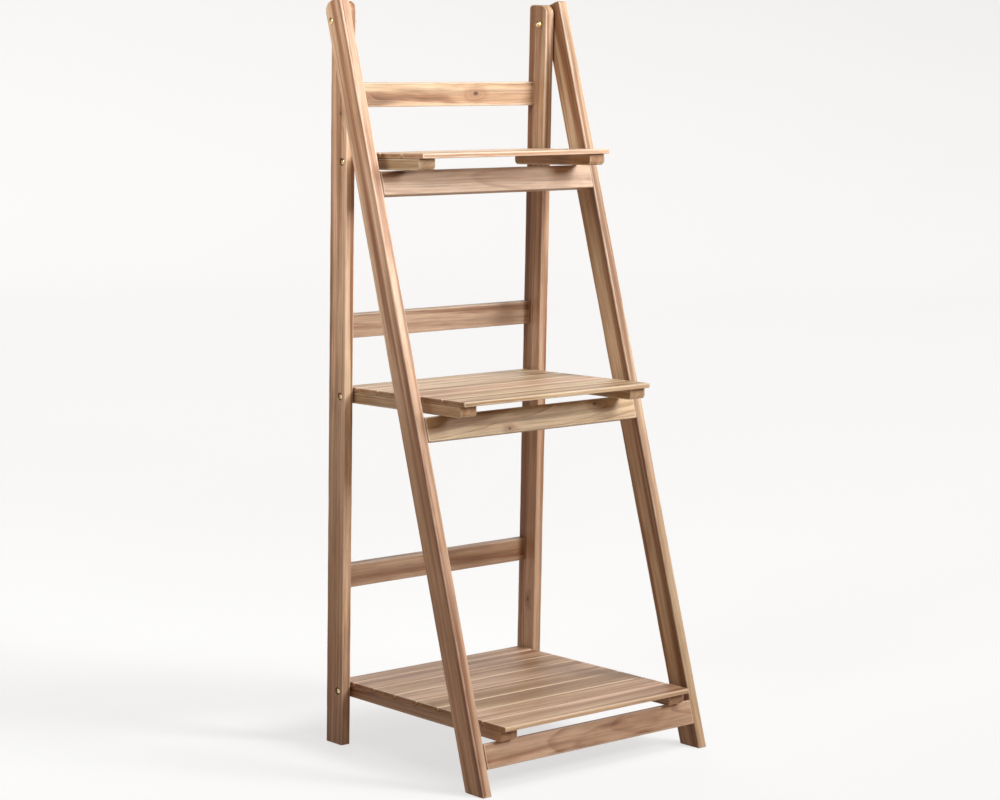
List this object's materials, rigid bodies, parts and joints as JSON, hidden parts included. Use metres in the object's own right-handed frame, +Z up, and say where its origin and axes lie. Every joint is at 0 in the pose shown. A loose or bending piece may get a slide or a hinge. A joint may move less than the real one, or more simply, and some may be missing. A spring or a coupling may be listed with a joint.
{
  "type": "ladder shelf",
  "caption": "Free-standing wooden ladder shelf: a splayed front frame and a back frame pivoted at the top, with slatted shelves that fold up between them.",
  "frame": {"origin": "on the floor, in the middle of the width and of the depth with the stand open", "axes": "+Z up, -Y towards the front of the shelves, +X across the width"},
  "size_m": [0.4212, 0.4042, 1.0899],
  "materials": {
    "frame_wood": "oiled, light brown with darker reddish streaks and paler eased edges",
    "slat_wood": "oiled, light brown with darker grain",
    "dowel_wood": "bare",
    "brass_hardware": "yellow plating, slightly dulled"
  },
  "bodies": {
    "back_frame": {"back_leg_left": "frame_wood", "back_leg_right": "frame_wood", "back_rail_bottom": "frame_wood", "back_rail_bottom_dowel_left": "dowel_wood", "back_rail_bottom_dowel_right": "dowel_wood", "back_rail_middle": "frame_wood", "back_rail_middle_dowel_left": "dowel_wood", "back_rail_middle_dowel_right": "dowel_wood", "back_rail_top": "frame_wood", "back_rail_top_dowel_left": "dowel_wood", "back_rail_top_dowel_right": "dowel_wood", "pivot_bolt_left": "brass_hardware", "pivot_bolt_right": "brass_hardware", "pivot_cap_nut_left": "brass_hardware", "pivot_cap_nut_right": "brass_hardware", "pivot_washer_left": "brass_hardware", "pivot_washer_right": "brass_hardware"},
    "front_frame": {"front_leg_left": "frame_wood", "front_leg_right": "frame_wood", "front_rail_bottom": "frame_wood", "front_rail_bottom_dowel_left": "dowel_wood", "front_rail_bottom_dowel_right": "dowel_wood", "front_rail_middle": "frame_wood", "front_rail_middle_dowel_left": "dowel_wood", "front_rail_middle_dowel_right": "dowel_wood", "front_rail_top": "frame_wood", "front_rail_top_dowel_left": "dowel_wood", "front_rail_top_dowel_right": "dowel_wood"},
    "shelf_top": {"shelf_top_batten_left": "frame_wood", "shelf_top_batten_right": "frame_wood", "shelf_top_hinge_screw_left": "brass_hardware", "shelf_top_hinge_screw_right": "brass_hardware", "shelf_top_slat_1": "slat_wood", "shelf_top_slat_2": "slat_wood", "shelf_top_slat_3": "slat_wood", "shelf_top_slat_4": "slat_wood"},
    "shelf_middle": {"shelf_middle_batten_left": "frame_wood", "shelf_middle_batten_right": "frame_wood", "shelf_middle_hinge_screw_left": "brass_hardware", "shelf_middle_hinge_screw_right": "brass_hardware", "shelf_middle_slat_1": "slat_wood", "shelf_middle_slat_2": "slat_wood", "shelf_middle_slat_3": "slat_wood", "shelf_middle_slat_4": "slat_wood", "shelf_middle_slat_5": "slat_wood", "shelf_middle_slat_6": "slat_wood"},
    "shelf_bottom": {"shelf_bottom_batten_left": "frame_wood", "shelf_bottom_batten_right": "frame_wood", "shelf_bottom_hinge_screw_left": "brass_hardware", "shelf_bottom_hinge_screw_right": "brass_hardware", "shelf_bottom_slat_1": "slat_wood", "shelf_bottom_slat_2": "slat_wood", "shelf_bottom_slat_3": "slat_wood", "shelf_bottom_slat_4": "slat_wood", "shelf_bottom_slat_5": "slat_wood", "shelf_bottom_slat_6": "slat_wood", "shelf_bottom_slat_7": "slat_wood", "shelf_bottom_slat_8": "slat_wood"}
  },
  "joints": [
    {"name": "front_fold", "type": "hinge", "parent": "back_frame", "child": "front_frame", "pos_m": [0, 0.12154, 1.056], "axis": [1, 0, 0], "range_deg": [0, 18.3]},
    {"name": "shelf_top_lift", "type": "hinge", "parent": "back_frame", "child": "shelf_top", "pos_m": [0, 0.13007, 0.858], "axis": [-1, 0, 0], "range_deg": [0, 87]},
    {"name": "shelf_middle_lift", "type": "hinge", "parent": "back_frame", "child": "shelf_middle", "pos_m": [0, 0.14719, 0.52], "axis": [-1, 0, 0], "range_deg": [0, 87]},
    {"name": "shelf_bottom_lift", "type": "hinge", "parent": "back_frame", "child": "shelf_bottom", "pos_m": [0, 0.16943, 0.081], "axis": [-1, 0, 0], "range_deg": [0, 87]}
  ]
}
